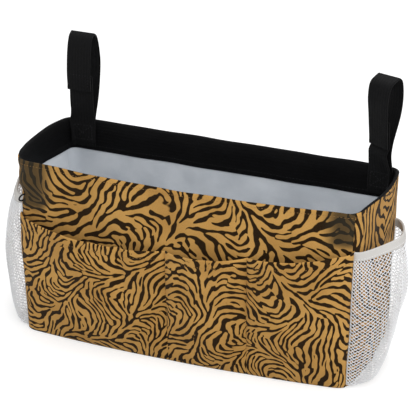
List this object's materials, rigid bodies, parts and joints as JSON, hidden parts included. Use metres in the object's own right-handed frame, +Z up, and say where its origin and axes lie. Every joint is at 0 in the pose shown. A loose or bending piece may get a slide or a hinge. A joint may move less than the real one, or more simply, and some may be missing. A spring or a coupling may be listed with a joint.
{
  "type": "bedside caddy",
  "caption": "Soft open-top hanging box with stiffened cloth walls, front pockets, net end pockets and two webbing loops that close with hook-and-loop tape.",
  "frame": {"origin": "middle of the underside, on the face that rests on a surface", "axes": "+Z up, -Y towards the front with the flat pockets, +X along the length"},
  "size_m": [0.4128, 0.1577, 0.2749],
  "materials": {
    "striped_print": "printed woven cloth, ochre ground with near-black tiger stripes",
    "grey_lining": "plain woven lining",
    "black_webbing": "ribbed polyester webbing",
    "white_net": "knitted polyester net",
    "white_tape": "elastic binding tape",
    "hook_and_loop": "hook-and-loop tape",
    "black_cord": "braided elastic cord",
    "stiffener_board": "plain board, sealed inside the walls"
  },
  "bodies": {
    "caddy": {"front_panel": "striped_print", "back_panel": "striped_print", "left_side_panel": "striped_print", "right_side_panel": "striped_print", "bottom_panel": "striped_print", "front_pocket_left": "striped_print", "front_pocket_middle": "striped_print", "front_pocket_pens": "striped_print", "front_stiffener": "stiffener_board", "back_stiffener": "stiffener_board", "left_side_stiffener": "stiffener_board", "right_side_stiffener": "stiffener_board", "base_board": "stiffener_board", "front_lining": "grey_lining", "back_lining": "grey_lining", "left_side_lining": "grey_lining", "right_side_lining": "grey_lining", "floor_lining": "grey_lining", "rim_band": "black_webbing", "left_net_pocket": "white_net", "right_net_pocket": "white_net", "left_net_hem": "white_tape", "right_net_hem": "white_tape", "side_cord_loop": "black_cord"},
    "left_loop": {"left_strap_loop": "black_webbing", "left_strap_tab": "black_webbing", "left_loop_patch": "hook_and_loop"},
    "right_loop": {"right_strap_loop": "black_webbing", "right_strap_tab": "black_webbing", "right_loop_patch": "hook_and_loop"},
    "left_flap": {"left_strap_flap": "black_webbing", "left_hook_patch": "hook_and_loop"},
    "right_flap": {"right_strap_flap": "black_webbing", "right_hook_patch": "hook_and_loop"}
  },
  "joints": [
    {"name": "left_loop_swing", "type": "hinge", "parent": "caddy", "child": "left_loop", "pos_m": [-0.156, 0.0547, 0.1811], "axis": [1, 0, 0], "range_deg": [-75, 45], "stiffness_Nm_per_rad": 0.03},
    {"name": "right_loop_swing", "type": "hinge", "parent": "caddy", "child": "right_loop", "pos_m": [0.158, 0.0525, 0.1811], "axis": [0.9603, -0.279, 0], "range_deg": [-75, 45], "stiffness_Nm_per_rad": 0.03},
    {"name": "left_flap_open", "type": "hinge", "parent": "left_loop", "child": "left_flap", "pos_m": [-0.156, 0.0547, 0.2741], "axis": [-1, 0, 0], "range_deg": [0, 100]},
    {"name": "right_flap_open", "type": "hinge", "parent": "right_loop", "child": "right_flap", "pos_m": [0.15884, 0.05538, 0.2741], "axis": [-0.9603, 0.279, 0], "range_deg": [0, 100]}
  ]
}
